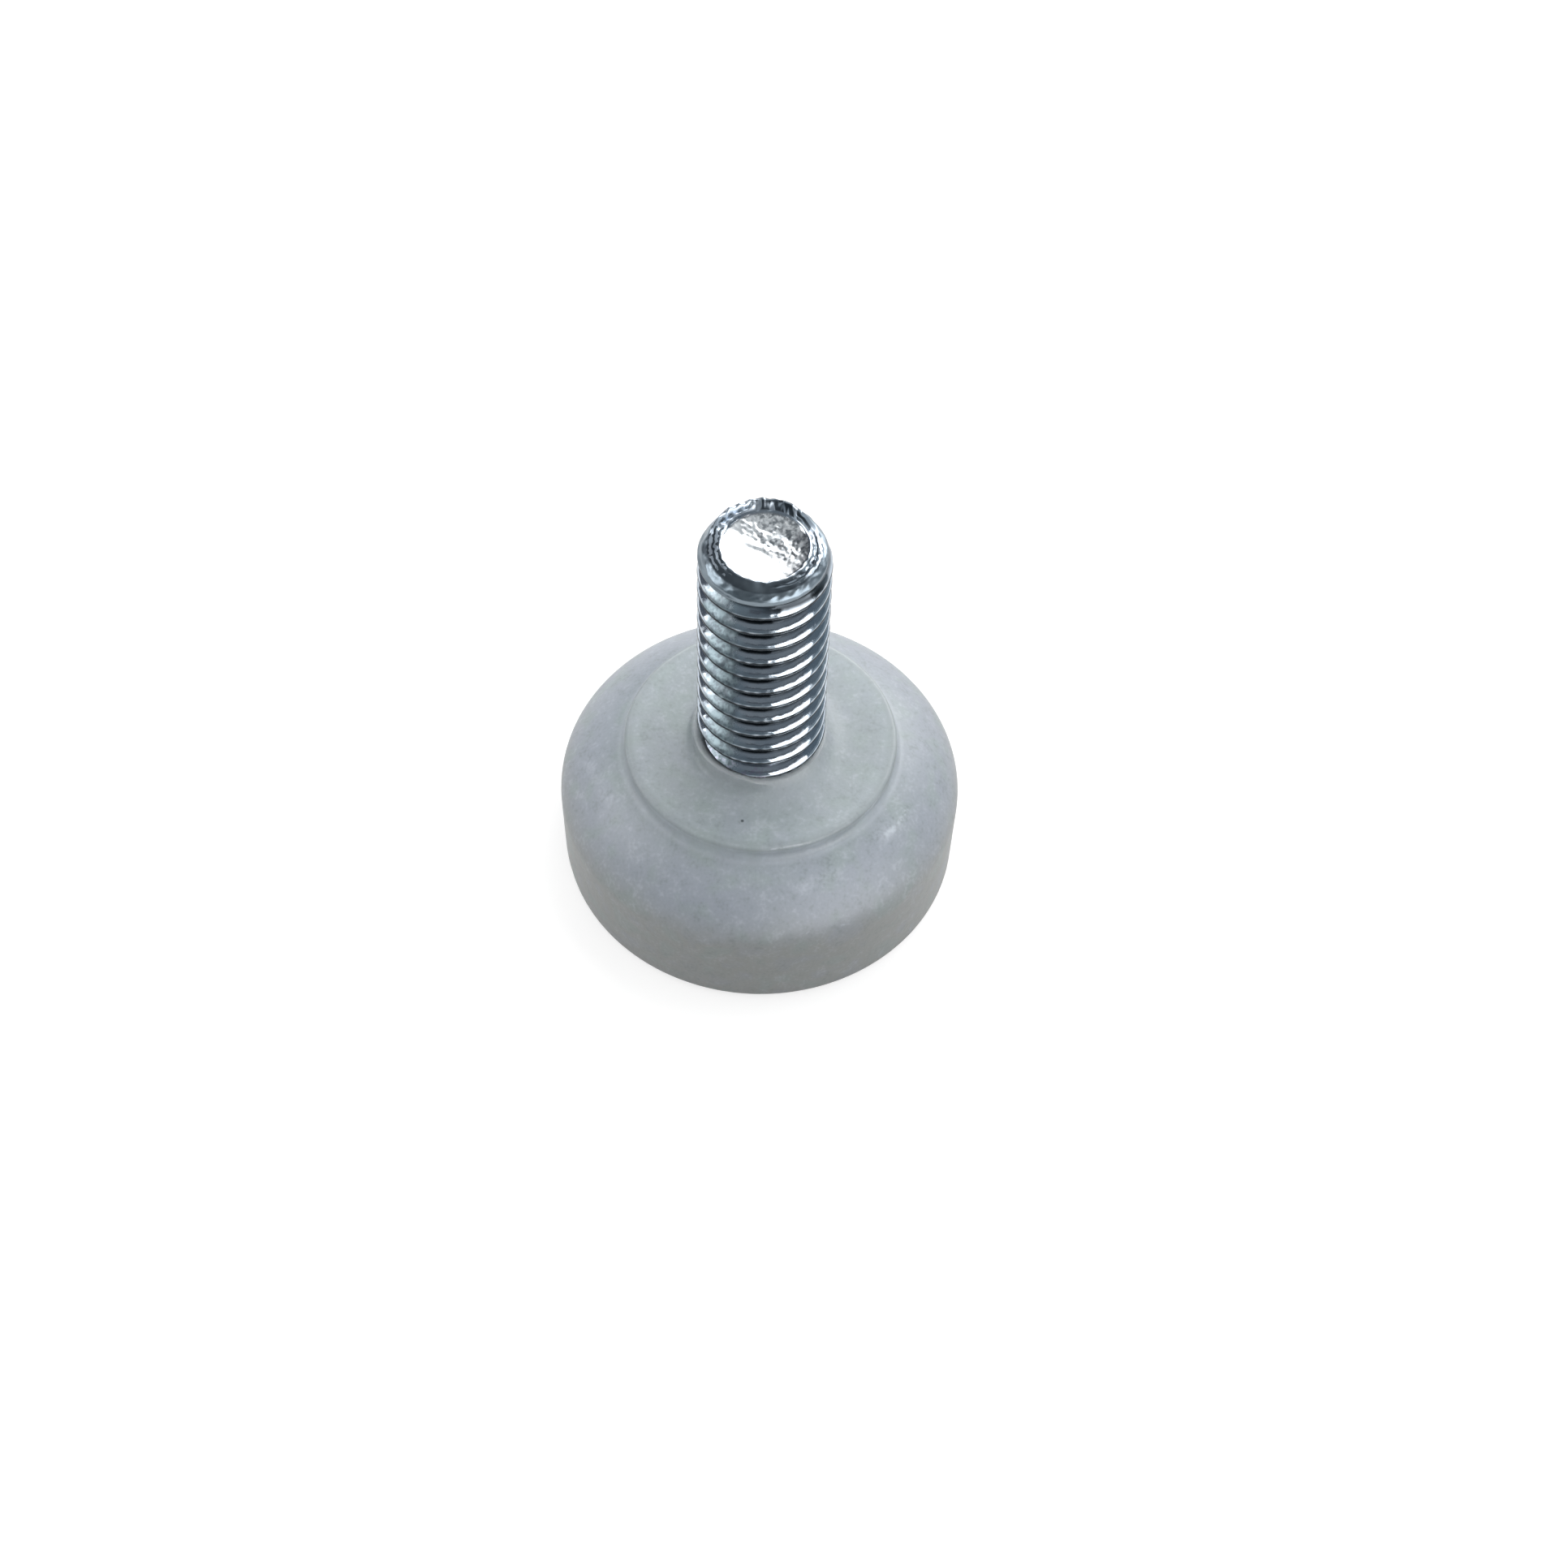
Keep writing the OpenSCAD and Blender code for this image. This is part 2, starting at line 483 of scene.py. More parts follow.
@dataclass(frozen=True)
class MilkyPlastic:
    """Natural translucent plastic as it leaves the mould: satin, cloudy and a little scuffed, with painted
    sheen, light, shade and glints.
    """

    boss: Colour = (0.374, 0.424, 0.448, 1.0)
    lavender: Colour = (0.385, 0.422, 0.475, 1.0)
    warm: Colour = (0.385, 0.405, 0.398, 1.0)
    green: Colour = (0.358, 0.424, 0.420, 1.0)
    dark: Colour = (0.20, 0.23, 0.24, 1.0)
    pale: Colour = (0.66, 0.71, 0.76, 1.0)
    speck: Colour = (0.05, 0.06, 0.07, 1.0)
    speck_place: tuple[float, float, float] = (-1.0, -6.4, 10.7)
    roughness: float = 0.42
    depth: float = 3.0
    # pale strokes: scratches and streaks, and painted glints and highlights on the right shoulder and along
    # the front of the boss's edge
    marks: tuple[Mark, ...] = (
        Mark((2.5, -9.9, 8.8), (4.9, -8.9, 8.9), 0.6, 0.22),
        Mark((7.6, -6.1, 9.0), (9.1, -4.3, 9.0), 0.9, 0.22),
        Mark((7.8, -6.0, 9.0), (8.3, -5.5, 9.0), 0.28, 0.7),
        Mark((8.6, -5.1, 9.0), (9.1, -4.1, 9.0), 0.2, 0.5),
        Mark((3.1, -11.8, 6.7), (3.3, -11.8, 6.8), 0.12, 0.5),
        Mark((5.2, -11.1, 6.6), (5.4, -11.1, 6.6), 0.12, 0.5),
        Mark((0.8, -8.4, 10.6), (3.2, -7.8, 10.6), 0.09, 0.5),
        Mark((6.3, -5.8, 10.3), (7.4, -4.2, 10.4), 0.2, 0.5),
        Mark((-10.8, -0.7, 8.4), (-9.2, -3.9, 8.9), 0.7, 0.14),
    )

    def material(self, foot: "FootBody") -> Material:
        """Makes the material, whose colour follows height and is clouded, mottled and marked, with painted
        sheen, light and shade and some painted glints.

        Args:
            foot: The foot, whose sizes place the colours.

        Returns:
            The material.
        """
        recipe = Recipe(bpy.data.materials.new("milky_plastic"))
        x, y, z = recipe.axes()
        radius = (x * x + y * y) ** 0.5
        clouds = recipe.noise(5.0, 2.0)
        patches = recipe.noise(1.7, 1.0)
        mottle = recipe.noise(0.8, 2.0)
        grain = recipe.noise(0.2, 2.0)
        shade = (mottle - 0.5) * 0.9 + (grain - 0.5) * 0.7 + (clouds - 0.5) * 0.35
        ragged = (grain * 0.4 + mottle * 0.6).ramp(0.3, 0.6)
        # places, in millimetres below the top of the boss and outside its edge
        down, out = foot.boss_top - z, radius - foot.boss_r
        # masks of painted light in the groove round the boss's foot and on the slope in front of the stud,
        # and of painted shade on the boss's edge
        lit_recess = out.band(0.15, 0.45, 0.1) * down.ramp(0.15, 0.4) * down.ramp(1.7, 1.3)
        edge = out.band(-0.2, 0.5, 0.1) * down.ramp(0.4, 0.2)
        outline = out.band(0.0, 0.1, 0.02) * down.ramp(0.8, 0.5) * clouds.ramp(0.3, 0.6)
        lit_front = radius.ramp(6.4, 4.4) * y.ramp(-1.0, -3.5) * down.ramp(0.2, 0.1)
        base = recipe.layers(
            self.lavender,
            # bluish on the top and the shoulder, as painted sheen, and warmer and a little darker down the
            # wall, as painted shade
            (down.ramp(2.5, 5.7) + (clouds - 0.5) * 0.5, self.warm),
            (down.ramp(2.3, 0.1) + (clouds - 0.5) * 0.6, self.boss),
            (patches.ramp(0.5, 0.7) * 0.4, self.lavender),
            (patches.ramp(0.5, 0.3) * 0.5, self.green),
            (shade.ramp(0.0, -0.4) * 0.4, self.dark),
            (shade.ramp(0.0, 0.4) * 0.3, self.pale),
            # painted light in the groove round the boss and in front of the stud, and painted shade on the
            # boss's edge
            (lit_recess * 0.32, self.pale),
            (lit_front * 0.22, self.pale),
            (edge * 0.3, self.dark),
            (outline * 0.25, self.dark),
            # pale strokes, partly scratches and partly painted glints and highlights
            *((recipe.stroke(mark) * ragged * mark.strength, self.pale) for mark in self.marks),
            (recipe.near(self.speck_place, 0.04, 0.15) * 0.9, self.speck),
        )
        return recipe.finish({
            "Base Color": base,
            "Roughness": (self.roughness + (mottle - 0.5) * 0.16).math("MAXIMUM", 0.2),
            "IOR": 1.5,
            "Subsurface Weight": 0.85,
            "Subsurface Radius": (1.0, 1.0, 1.0),
            "Subsurface Scale": self.depth * MM,
            "Normal": recipe.bump(mottle * 0.4 + grain * 0.6, 0.02, 0.6),
        })


@dataclass(frozen=True)
class ZincPlate:
    """Bright zinc plate with a blue cast over rolled steel, with painted shade down in the thread and
    painted dark reflections on its crests and tip.
    """

    bright: Colour = (0.62, 0.68, 0.74, 1.0)
    blue: Colour = (0.40, 0.47, 0.55, 1.0)
    bare: Colour = (0.86, 0.88, 0.89, 1.0)
    groove: Colour = (0.06, 0.07, 0.08, 1.0)
    edge: Colour = (0.13, 0.15, 0.17, 1.0)
    slate: Colour = (0.25, 0.30, 0.34, 1.0)
    scuffed: Colour = (0.22, 0.285, 0.305, 1.0)
    stained: Colour = (0.06, 0.08, 0.09, 1.0)
    crest: Colour = (0.03, 0.035, 0.04, 1.0)
    lip_shade: Colour = (0.065, 0.08, 0.095, 1.0)
    smear: Colour = (0.50, 0.47, 0.60, 1.0)
    roughness: float = 0.13
    scuff_roughness: float = 0.25
    scuff_heading: float = math.radians(-134)
    window: float = math.radians(-55)
    pit_heading: float = math.atan2(3, 4)

    def material(self, stud: "ThreadedStud") -> Material:
        """Makes the material, whose stains, wear, painted shade and painted dark reflections follow the
        stud's thread and tip.

        Args:
            stud: The stud, whose sizes place them.

        Returns:
            The material.
        """
        recipe = Recipe(bpy.data.materials.new("zinc_plate"))
        x, y, z = recipe.axes()
        radius = (x * x + y * y) ** 0.5
        mottle = recipe.noise(0.45, 4.0)
        clouds = recipe.noise(2.2, 2.0)
        fine = recipe.noise(0.16, 3.0)
        coarse = recipe.noise(0.4, 1.5)
        streaks = recipe.noise(0.3, 1.0, (1.0, 0.25, 0.25)).ramp(0.5, 0.6)
        # directions seen from above, as cosines of the angle to a heading
        east, north = x / radius, y / radius
        facing = heading_part(east, north, self.scuff_heading)
        aside = abs(heading_part(east, north, stud.groove_centre))
        to_window = heading_part(east, north, self.window).ramp(0.7, 0.95)
        at_back = north.ramp(0.2, 0.6) * x.ramp(-1.1, -0.4)
        # zones of the stud, in millimetres below its lip
        down = stud.lip_z - z
        on_side, on_lip = down.ramp(0.7, 1.2), down.ramp(1.0, 0.8)
        rim = radius.ramp(stud.rim_r - 0.2, stud.rim_r - 0.1) * down.ramp(1.4, 1.15)
        chamfer = radius.ramp(stud.lip_r, stud.lip_r + 0.12) * on_lip
        lip = radius.ramp(stud.dish_r + 0.02, stud.dish_r + 0.12) * on_lip
        in_dish = radius.ramp(stud.dish_r, stud.dish_r - 0.15) * down.ramp(1.2, 1.0)
        # the thread: its crests painted dark, as a painted dark reflection; painted shade in its grooves
        # and under each crest; and its run-out, painted dark where it faces the window lamp, as painted
        # shade
        turn = y.math("ARCTAN2", x) / (2 * math.pi)
        above_crest = ((z - stud.crest_height) / stud.pitch - turn + 0.5).fraction() - 0.5
        painted_dark_crest = radius.ramp(stud.thread_r - 0.05, stud.thread_r - 0.015)
        deep = radius.ramp(stud.root_r + 0.55 * stud.depth, stud.root_r + 0.3 * stud.depth)
        under = above_crest.ramp(-0.02, -0.06) * above_crest.ramp(-0.5, -0.48)
        run_out = down.ramp(1.75, 1.4) * down.ramp(0.6, 0.7) * abs(above_crest).ramp(0.06, 0.14)
        # a scuffed strip down one side, and a bright flash low beside it
        scuff = (facing + (clouds - 0.5) * 0.1 + (mottle - 0.5) * 0.1).ramp(0.91, 0.99) * on_side
        scuffed = recipe.mix((fine * 0.4 + mottle * 0.6).ramp(0.38, 0.60), self.stained, self.scuffed)
        low_left = facing.ramp(0.2, 0.75) * (z - stud.boss_top).ramp(2.5, 1.7)
        flash = low_left * (mottle * 0.5 + fine * 0.5).ramp(0.5, 0.62)
        # how much of the painted groove shade stays: less in the scuffed strip and low beside it
        groove_shade_kept = (1 - scuff * 0.65) * (1 - low_left * 0.8)
        # the lip: painted light in ragged rings at its sides and in streaks at its back, and lighter
        # towards the back; elsewhere painted shade and painted dark reflection
        wave = ((radius + (coarse - 0.5) * 0.45) / 0.3).fraction()
        rings = wave.ramp(0.3, 0.45) * wave.ramp(0.95, 0.8)
        light = coarse * 0.6 + rings * aside * 0.3 + north * 0.2 + fine * 0.1
        lip_lit = light.ramp(0.42, 0.56) * (1 - at_back) + streaks * at_back
        shadowed = recipe.mix(aside.math("MAXIMUM", at_back).ramp(-0.8, 0.5), self.slate, self.lip_shade)
        pits = (fine * 0.45 + coarse * 0.55).ramp(0.42, 0.62)
        pits = pits * heading_part(x, y, self.pit_heading).ramp(-1.0, 0.6)
        base = recipe.layers(
            self.bright,
            (clouds.ramp(0.35, 0.65) * 0.5 + mottle * 0.4, self.blue),
            (scuff * 0.85, scuffed),
            # crests painted dark, as a painted dark reflection
            (painted_dark_crest * on_side, self.crest),
            # the run-out painted dark where it faces the window lamp, as painted shade
            (run_out * to_window, self.crest),
            (rim, self.edge),
            # painted shade and dark reflection on the lip, where it isn't painted light
            (lip * (1 - lip_lit), shadowed),
            # the chamfer painted dark slate, as a painted dark reflection
            (chamfer * 0.8, self.slate),
            (in_dish * 0.9, self.bare),
            (in_dish * pits * 0.85, self.edge),
            # painted shade in the roots and under each crest
            (deep.math("MAXIMUM", under) * on_side * groove_shade_kept, self.groove),
            (flash * on_side * 0.7, self.smear),
        )
        rough = self.roughness + (mottle - 0.5) * 0.15 + in_dish * 0.16 + lip * 0.22
        return recipe.finish({
            "Base Color": base,
            "Metallic": 1.0,
            "Roughness": (rough + scuff * self.scuff_roughness).clamp(0.08, 0.6),
            "Normal": recipe.bump(mottle, 0.012, 0.5),
        })


# ---- the stud


@dataclass
class ThreadedStud:
    """The steel stud: a hexagonal head and a plain shank inside the plastic, and a rolled thread."""

    thread_r: float
    head_low: float
    head_corner_r: float
    tip: float
    boss_top: float
    # the head and the shank
    head_h: float = 5.2
    shank_r: float = 3.55
    shank_gap: float = 0.1
    # the thread
    thread_start: float = 10.9
    pitch: float = 25.4 / 18
    depth: float = 0.8
    flank: float = math.radians(30)
    crest_half: float = 0.2
    crest_soft: float = 0.45
    root_soft: float = 0.07
    first_crest: float = -0.3
    uneven: Ripple = Ripple(seed=5, waves=24, most_turns=40, most_along=9.0, height=0.012)
    dents: Dents = Dents(seed=11, count=110, width=0.11, depth=0.05)
    rings_per_pitch: int = 22
    gather: float = 0.7
    # the end of the thread, as distances below the lip
    run_out: float = 1.9
    crest_end: float = 0.95
    rim_side: float = 0.6
    wear_start: float = 1.1
    wear_full: float = 0.4
    # the rim that it ends in, and its wear
    rim_r: float = 3.76
    rim_groove: float = 0.1
    wear: Ripple = Ripple(seed=6, waves=20, most_turns=30, most_along=6.0, height=0.05)
    bulge: float = 0.03
    bulge_ripple: Ripple = Ripple(seed=8, waves=20, most_turns=30, most_along=8.0)
    # the lip, its groove on the right and the crevice behind the burr
    lip_r: float = 3.3
    lip_sink: float = 0.04
    lip_drop: float = 0.2
    ragged: Hammering = Hammering(seed=22, waves=44, shortest=0.5, longest=2.4)
    groove_r: float = 2.98
    groove_depth: float = 0.1
    groove_width: float = 0.06
    groove_centre: float = math.radians(-8)
    groove_end: float = math.radians(80)
    groove_full: float = math.radians(45)
    crevice_depth: float = 0.3
    crevice_width: float = 0.11
    # the burr
    burr_r: float = 3.22
    burr_height: float = 0.4
    burr_centre: float = math.radians(128)
    burr_spread: float = math.radians(34)
    rise_centre: float = math.radians(105)
    rise_end: float = math.radians(75)
    rise_full: float = math.radians(35)
    # the dish, its edge and the small point on the edge
    dish_r: float = 2.6
    dish_depth: float = 0.42
    dish_step: float = 0.05
    dish_waves: Hammering = Hammering(seed=37, waves=12, shortest=0.75, longest=2.2, height=0.038)
    dish_grit: Hammering = Hammering(seed=31, waves=80, shortest=0.26, longest=1.5, height=0.026)
    stray: Ripple = Ripple(seed=13, waves=24, most_turns=30, most_along=1.0, height=0.035)
    point: float = 0.12
    point_width: float = 0.09
    point_centre: float = math.radians(-86)

    @property
    def root_r(self) -> float:
        """Radius at the bottom of the thread."""
        return self.thread_r - self.depth

    @property
    def crest_height(self) -> float:
        """Height of a crest at theta 0. At the front it lies first_crest above the boss's top."""
        return self.boss_top + self.first_crest + self.pitch / 4

    @property
    def lip_z(self) -> float:
        """Height of the lip where it has no burr."""
        return self.tip - self.burr_height

    @property
    def head_top(self) -> float:
        """Height of the top of the head."""
        return self.head_low + self.head_h

    def flank_fall(self, away: Array | float) -> Array | float:
        """Fall of a flank with two rounded ends, from about 0 on the crest to 1 in the root."""
        # s runs from 0 at the crest's edge to 1 at the root's. The fall is half of
        # 1 + root(s squared + a squared) - root((s - 1) squared + b squared), in which a rounds
        # the crest's edge and b the root's.
        s = (away - self.crest_half) / (self.depth * math.tan(self.flank))
        return 0.5 * (1 + np.hypot(s, self.crest_soft) - np.hypot(s - 1, self.root_soft))

    def thread_share(self, z: Array) -> Array:
        """Height of the thread form: 1 on the crest and 0 in the root.

        The crest climbs one pitch in each turn anticlockwise.

        Args:
            z: Heights.

        Returns:
            The share of the thread's depth at each place.
        """
        turns = (z - self.crest_height) / self.pitch - THETA / (2 * math.pi)
        away = np.abs(turns - np.round(turns)) * self.pitch
        top, bottom = self.flank_fall(0.0), self.flank_fall(self.pitch / 2)
        return 1 - (self.flank_fall(away) - top) / (bottom - top)

    def side_radius(self, z: Array) -> Array:
        """Radius of the stud's side: the thread, shallower towards the tip, with its wear.

        Args:
            z: Heights.

        Returns:
            The radius at each place.
        """
        end = self.lip_z - z
        crest = self.thread_r - (self.thread_r - self.rim_r) * smooth(self.crest_end, self.rim_side, end)
        deepest = self.rim_r - self.rim_groove - self.root_r
        floor = self.root_r + deepest * smooth(self.run_out, self.rim_side, end)
        share = self.thread_share(z)
        dented = self.dents.at(z, self.thread_start, self.tip - 1, self.thread_r)
        rough = self.uneven.at(z) + self.wear.at(z) * smooth(self.wear_start, self.wear_full, end)
        made = floor + (crest - floor + rough - dented) * share
        return np.minimum(made, self.thread_r)

    def lip_height(self, radius: Array | float) -> Array:
        """Height of the rolled lip round the dish.

        It falls outwards, by lip_drop times the share of its width to the power 1.2, less a
        groove round the right side and the crevice behind the burr, plus the burr's own ragged
        slope up to the rim at the back.

        Args:
            radius: Distances from the axis.

        Returns:
            The height at each place.
        """
        ragged = self.ragged.at(radius)
        outward = np.clip((radius - self.dish_r) / (self.lip_r - self.dish_r), 0, 1)
        round_lip = self.lip_z - self.lip_sink - self.lip_drop * outward ** 1.2
        away = radius - self.groove_r
        beside = sector(self.groove_centre, self.groove_end, self.groove_full)
        groove = self.groove_depth * beside * hump(away - 0.05 * ragged, self.groove_width)
        behind = sector(self.burr_centre, self.burr_spread, 0.4 * self.burr_spread)
        crevice = self.crevice_depth * behind * hump(away - 0.08 * ragged, self.crevice_width)
        slope = self.burr_rise() * smooth(self.dish_r - 0.1, self.burr_r, radius)
        made = round_lip - groove - crevice + slope * (0.92 + 0.16 * ragged) + 0.02 * ragged
        return np.minimum(made, self.tip)

    def wobble(self) -> Array:
        """How far the dish's edge strays from a circle, with one small point at the front."""
        point = self.point * hump(angle_from(self.point_centre), self.point_width)
        return self.stray.at(0.0) + point

    def burr_rise(self) -> Array:
        """How far the outer rim is pushed up round the back, where the burr is."""
        back = sector(self.rise_centre, self.rise_end, self.rise_full)
        return (self.burr_height + self.lip_drop) * back

    def dish_height(self, share: Array) -> Array:
        """Height of the dish: a small step down, then a bowl with a rough floor.

        With r the share, the bowl is dish_depth times 1 - r to the power 2.2. The roughness
        fades out towards the edge, and is finer and stronger towards the back.

        Args:
            share: Distance from the axis as a share of the dish's radius.

        Returns:
            The height at each place, which meets the lip at a share of 1.
        """
        rim = self.lip_height(self.dish_r)
        level = rim.mean() + (rim - rim.mean()) * share ** 12
        radius = share * self.dish_r
        x, y = radius * np.cos(THETA), radius * np.sin(THETA)
        grit = self.dish_grit.at(radius) * (0.15 + smooth(-0.8, 0.9, 0.5 * x + 0.85 * y))
        rough = self.dish_waves.at(radius) + grit
        fall = self.dish_step * smooth(1.0, 0.95, share) + self.dish_depth * (1 - share ** 2.2)
        return level - fall + rough * (1 - share ** 6)

    def held_rings(self) -> Array:
        """Rings of what the plastic holds: the head from below, then the shank up to the thread.

        Returns:
            Rings by columns by 3.
        """
        sixth = math.pi / 3
        corner = self.head_corner_r * math.cos(sixth / 2) / np.cos(THETA % sixth - sixth / 2)
        plain = np.full(COLUMNS, self.shank_r)
        radius = np.stack([corner * 0.5, corner, corner, plain, plain])
        shank_top = self.thread_start - self.shank_gap
        height = np.array([self.head_low, self.head_low, self.head_top, self.head_top, shank_top])
        return revolved(radius, height[:, None])

    def gathered(self, z: Array) -> Array:
        """Heights moved towards the nearest crest, so that the mesh is finest along it.

        Each height moves by a share of the sine of its phase in the thread, and by nothing at
        the two ends of the thread.

        Args:
            z: Evenly spaced heights.

        Returns:
            The moved heights, still in rising order.
        """
        phase = 2 * math.pi * (z - self.crest_height) / self.pitch - THETA
        ends = smooth(z.min(), z.min() + 1, z) * smooth(z.max(), z.max() - 1, z)
        return z - self.gather * self.pitch / (2 * math.pi) * np.sin(phase) * ends

    def rings(self) -> Array:
        """All the stud's rings, from the underside of the head to the middle of the dish.

        Returns:
            Rings by columns by 3.
        """
        side_top = self.lip_z - self.rim_side
        count = round((side_top - self.thread_start) / self.pitch * self.rings_per_pitch)
        z = self.gathered(np.linspace(self.thread_start, side_top, count)[:, None])
        side = self.side_radius(z)
        along = np.linspace(0, 1, 9)[1:, None]
        lip_edge = self.lip_height(self.lip_r)
        bulge = self.bulge * np.sin(math.pi * along) * (1 + self.bulge_ripple.at(along))
        chamfer_r = side[-1] + (self.lip_r - side[-1]) * along + bulge
        chamfer_z = side_top + (lip_edge - side_top) * along + bulge
        lip = np.linspace(self.lip_r, self.dish_r, 21)[1:, None]
        share = np.linspace(1, 0.02, 40)[1:, None]
        stray = self.wobble()
        return np.concatenate([
            self.held_rings(),
            revolved(side, z),
            revolved(chamfer_r, chamfer_z),
            revolved(lip + stray * smooth(self.lip_r, self.dish_r, lip), self.lip_height(lip)),
            revolved(share * self.dish_r + stray * share ** 4, self.dish_height(share)),
        ])

    def build(self) -> Object:
        """Makes the stud, in place and in its zinc finish.

        Returns:
            The stud.
        """
        rings = self.rings()
        made = closed_shell(Piece.STUD, rings, self.head_low, float(rings[-1, :, 2].mean()))
        made.data.materials.append(ZincPlate().material(self))
        return made


# ---- the foot


@dataclass
class FootBody:
    """The moulded foot: a round drum with a domed shoulder, a flat boss and a lip round the stud."""

    stud: ThreadedStud
    foot_r: float
    collar_top: float
    # the drum and its shoulder
    shoulder_drop: float = 5.1
    wall_draft: float = 1.7
    base_edge_r: float = 0.6
    shoulder_r: float = 2.5
    dome_r: float = 8.5
    # the boss
    boss_r: float = 8.45
    boss_step: float = 0.9
    boss_edge_r: float = 0.25
    boss_fillet_r: float = 0.5
    # the lip round the stud, here called the collar, and its low side
    collar_h: float = 1.2
    collar_land: float = 0.3
    collar_fillet_r: float = 0.4
    collar_edge_r: float = 0.12
    low_start: float = math.radians(-84)
    low_stop: float = math.radians(100)
    low_in: float = 0.3
    low_out: float = 0.45
    low_side: float = 0.85
    low_slope: float = 1.9
    low_slim: float = 0.12
    # marks of moulding
    mismatch: float = 0.05
    mould_line: float = 0.9
    line_soft: float = 0.04
    uneven: Ripple = Ripple(seed=41, waves=18, most_turns=4, most_along=0.9, height=0.012)
    even_r: float = 5.0
    uneven_r: float = 7.0
    middle_r: float = 0.4

    @property
    def boss_top(self) -> float:
        """Height of the flat top of the boss."""
        return self.collar_top - self.collar_h

    def outline(self) -> Array:
        """The half section from the middle of the underside to the inner edge of the collar.

        Straight lines and arcs that meet in a line: underside, bottom edge, side wall,
        shoulder, dome, fillet, boss wall, boss edge, boss top, fillet, collar and its edge. The dome's
        centre lies dome_r less shoulder_r from the shoulder's, and dome_r from the point where
        the dome would meet the boss.

        Returns:
            One row per point: distance from the axis, then height.
        """
        boss_top = self.boss_top
        draft = math.radians(self.wall_draft)
        shoulder = np.array([self.foot_r - self.shoulder_r, boss_top - self.shoulder_drop])
        foot_of_boss = np.array([self.boss_r, boss_top - self.boss_step])
        reach = float(np.linalg.norm(foot_of_boss - shoulder))
        inner = self.dome_r - self.shoulder_r
        along = (reach ** 2 + inner ** 2 - self.dome_r ** 2) / (2 * reach)
        heading = math.atan2(*(foot_of_boss - shoulder)[::-1]) + math.acos(along / inner)
        dome = shoulder + inner * np.array([math.cos(heading), math.sin(heading)])
        dome_start = math.degrees(math.atan2(*(shoulder - dome)[::-1]))
        fillet_x = self.boss_r + self.boss_fillet_r
        rise = math.sqrt((self.dome_r + self.boss_fillet_r) ** 2 - (fillet_x - dome[0]) ** 2)
        fillet = np.array([fillet_x, dome[1] + rise])
        dome_stop = math.degrees(math.atan2(*(fillet - dome)[::-1]))
        edge_x = shoulder[0] + (
            self.shoulder_r - self.base_edge_r + (self.base_edge_r - shoulder[1]) * math.sin(draft)
        ) / math.cos(draft)
        edge = (edge_x, self.base_edge_r)
        boss_edge = (self.boss_r - self.boss_edge_r, boss_top - self.boss_edge_r)
        collar_r = self.stud.thread_r + self.collar_land
        collar_foot = (collar_r + self.collar_fillet_r, boss_top + self.collar_fillet_r)
        collar_edge = (collar_r - self.collar_edge_r, self.collar_top - self.collar_edge_r)
        base_arc = arc(edge, self.base_edge_r, -90, -self.wall_draft, 10)
        shoulder_arc = arc(shoulder, self.shoulder_r, -self.wall_draft, dome_start, 24)
        boss_arc = arc(boss_edge, self.boss_edge_r, 0, 90, 9)
        fillet_arc = arc(fillet, self.boss_fillet_r, dome_stop - 180, -180, 12)
        foot_arc = arc(collar_foot, self.collar_fillet_r, -90, -180, 9)
        top_arc = arc(collar_edge, self.collar_edge_r, 0, 90, 5)
        return np.concatenate([
            line((self.middle_r, 0), base_arc[0], 16)[:-1],
            base_arc,
            line(base_arc[-1], shoulder_arc[0], 30)[1:-1],
            shoulder_arc,
            arc(dome, self.dome_r, dome_start, dome_stop, 22)[1:-1],
            fillet_arc,
            line(fillet_arc[-1], boss_arc[0], 5)[1:-1],
            boss_arc,
            line(boss_arc[-1], foot_arc[0], 22)[1:-1],
            foot_arc,
            line(foot_arc[-1], top_arc[0], 7)[1:-1],
            top_arc,
        ])

    def collar_level(self) -> Array:
        """Height of the collar's top: full round the left, and low from low_start to low_stop.

        Returns:
            The height at each angle.
        """
        middle = (self.low_start + self.low_stop) / 2
        half = (self.low_stop - self.low_start) / 2
        low = sector(middle, half + self.low_out, half - self.low_in)
        return self.collar_top - (self.collar_h - self.low_side) * low

    def outer_rings(self) -> Array:
        """Rings of everything that shows, with the mould line and the slight unevenness.

        The part of the collar above the boss is scaled in height to the collar's own level.
        Where that is low, the boss rises to it instead in a hollow slope: the height above the
        boss is low_side times the nearness to the thread to the power 2.5. Below the mould line
        the surface is shifted sideways by the mismatch of the mould.

        Returns:
            Rings by columns by 3.
        """
        section = self.outline()
        radius, height = section[:, :1], section[:, 1:]
        boss_top = self.boss_top
        level = (self.collar_level() - boss_top) / self.collar_h
        raised = np.where(height > boss_top, boss_top + (height - boss_top) * level, height + 0 * THETA)
        low = smooth(1.0, 0.75, level) * (height > boss_top - 0.001)
        slim = radius - self.low_slim * low * np.clip((height - boss_top) / self.collar_h, 0, 1)
        share = np.clip(1 - (slim - self.stud.thread_r) / self.low_slope, 0, 1)
        raised = raised + (boss_top + self.low_side * share ** 2.5 - raised) * low
        steps = np.linalg.norm(np.diff(section, axis=0), axis=1)
        travel = np.concatenate([[0], np.cumsum(steps)])[:, None]
        uneven = self.uneven.at(travel)
        below_line = smooth(self.mould_line + self.line_soft, self.mould_line - self.line_soft, height)
        shift = self.mismatch * np.cos(THETA) * below_line
        outer = smooth(self.even_r, self.uneven_r, radius) * smooth(0.0, self.base_edge_r, height)
        inset = np.minimum(shift, 0) * smooth(self.foot_r - 1, self.foot_r - 0.5, radius)
        return revolved(slim + inset + np.minimum(uneven, 0) * outer, raised)

